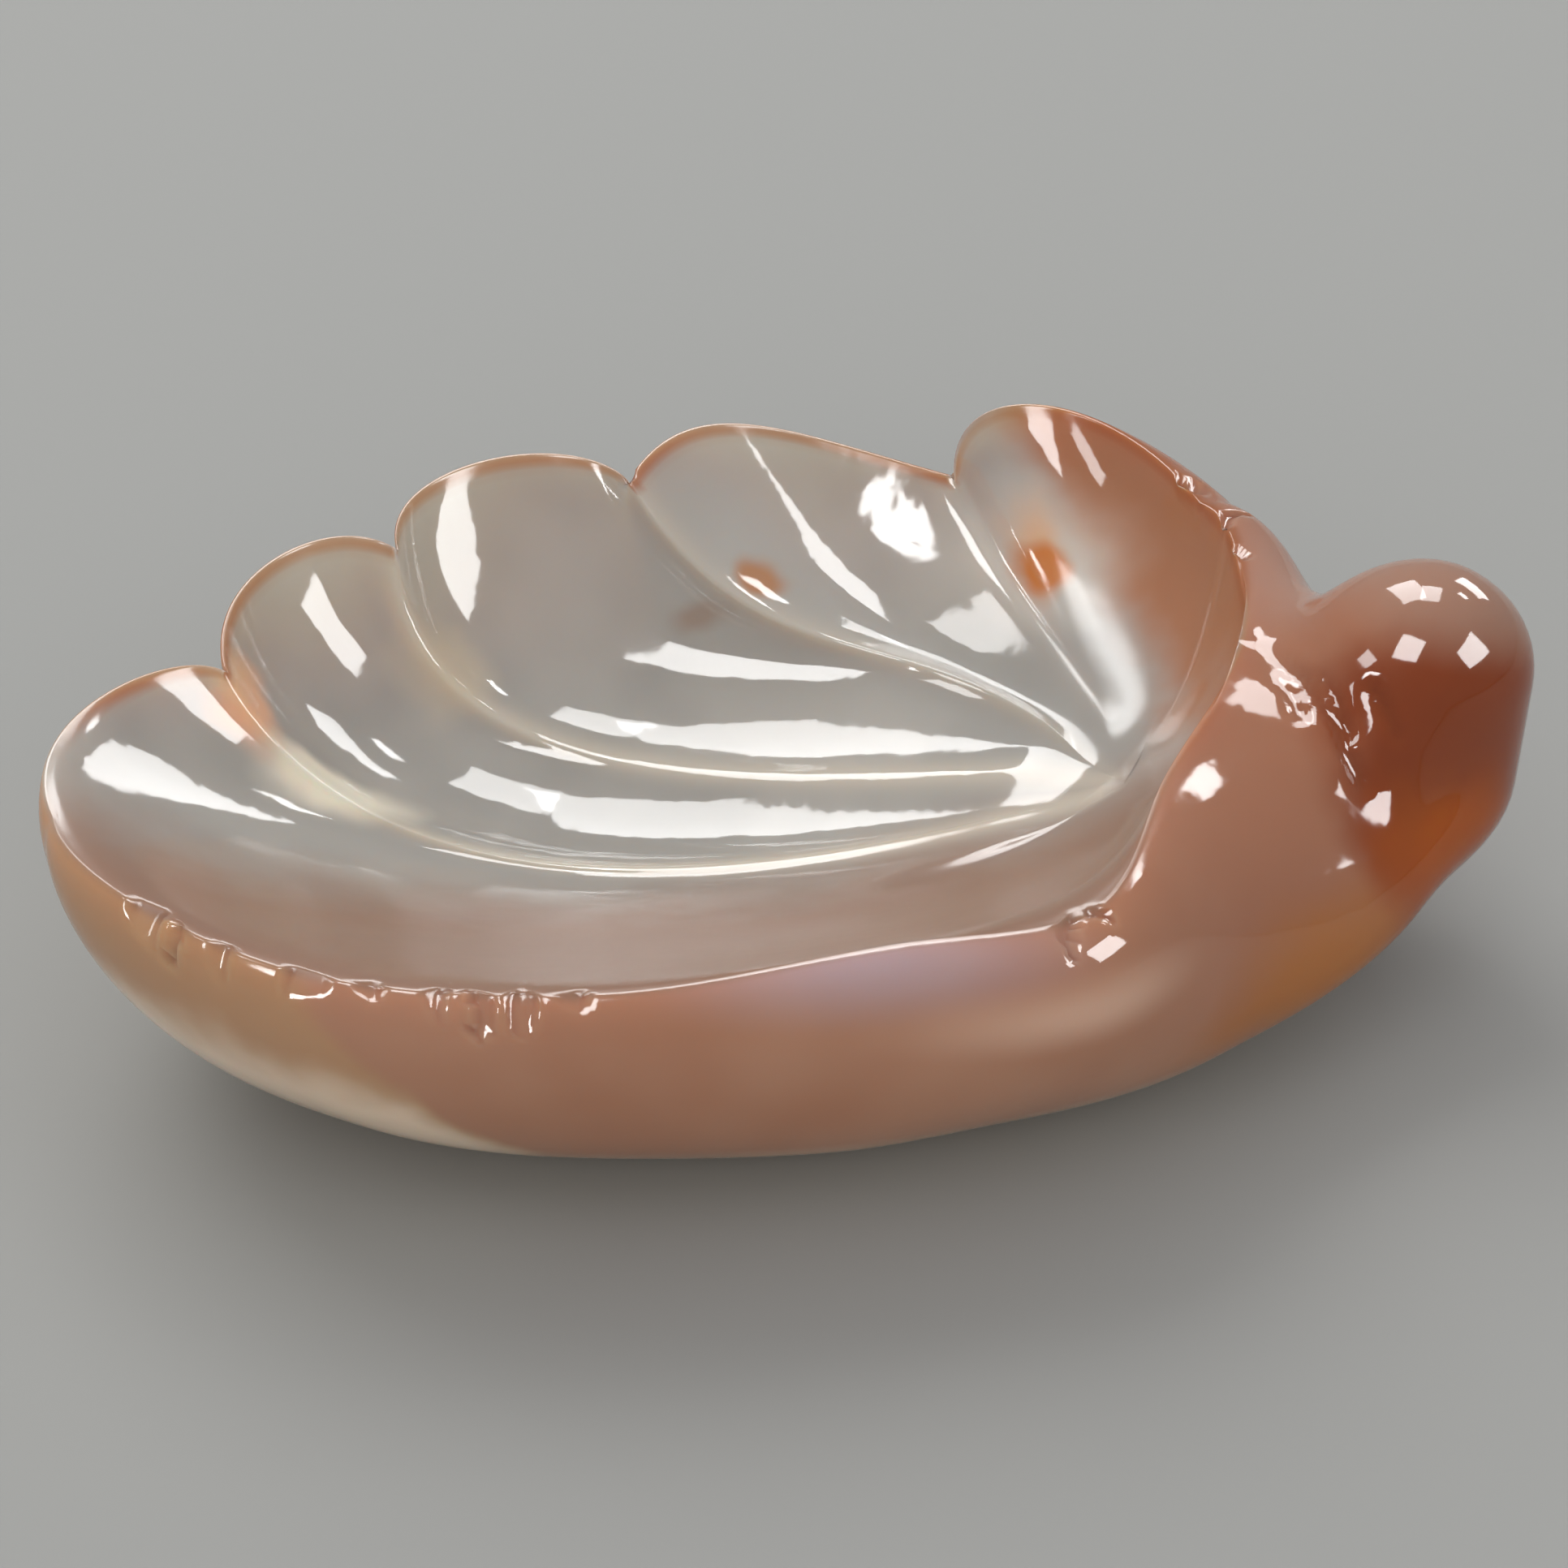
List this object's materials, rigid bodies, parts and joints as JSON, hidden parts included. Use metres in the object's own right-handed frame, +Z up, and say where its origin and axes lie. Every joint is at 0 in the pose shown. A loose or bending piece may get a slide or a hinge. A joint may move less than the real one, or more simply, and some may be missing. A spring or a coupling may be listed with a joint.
{
  "type": "carved agate shell dish",
  "caption": "Shallow dish carved from one piece of polished agate as a fluted shell, with a scalloped rim, a rounded knob at the hinge end and a small flat foot.",
  "frame": {"origin": "middle of the footprint's bounding box, at the level of the flat foot", "axes": "+X along the length towards the knob, +Y towards the scalloped back rim, +Z up out of the hollow"},
  "size_m": [0.0578, 0.0398, 0.0164],
  "materials": {
    "agate": "polished translucent agate, milky grey in the hollow, rose brown to carnelian outside"
  },
  "bodies": {
    "root": {"agate_shell": "agate"}
  },
  "joints": []
}
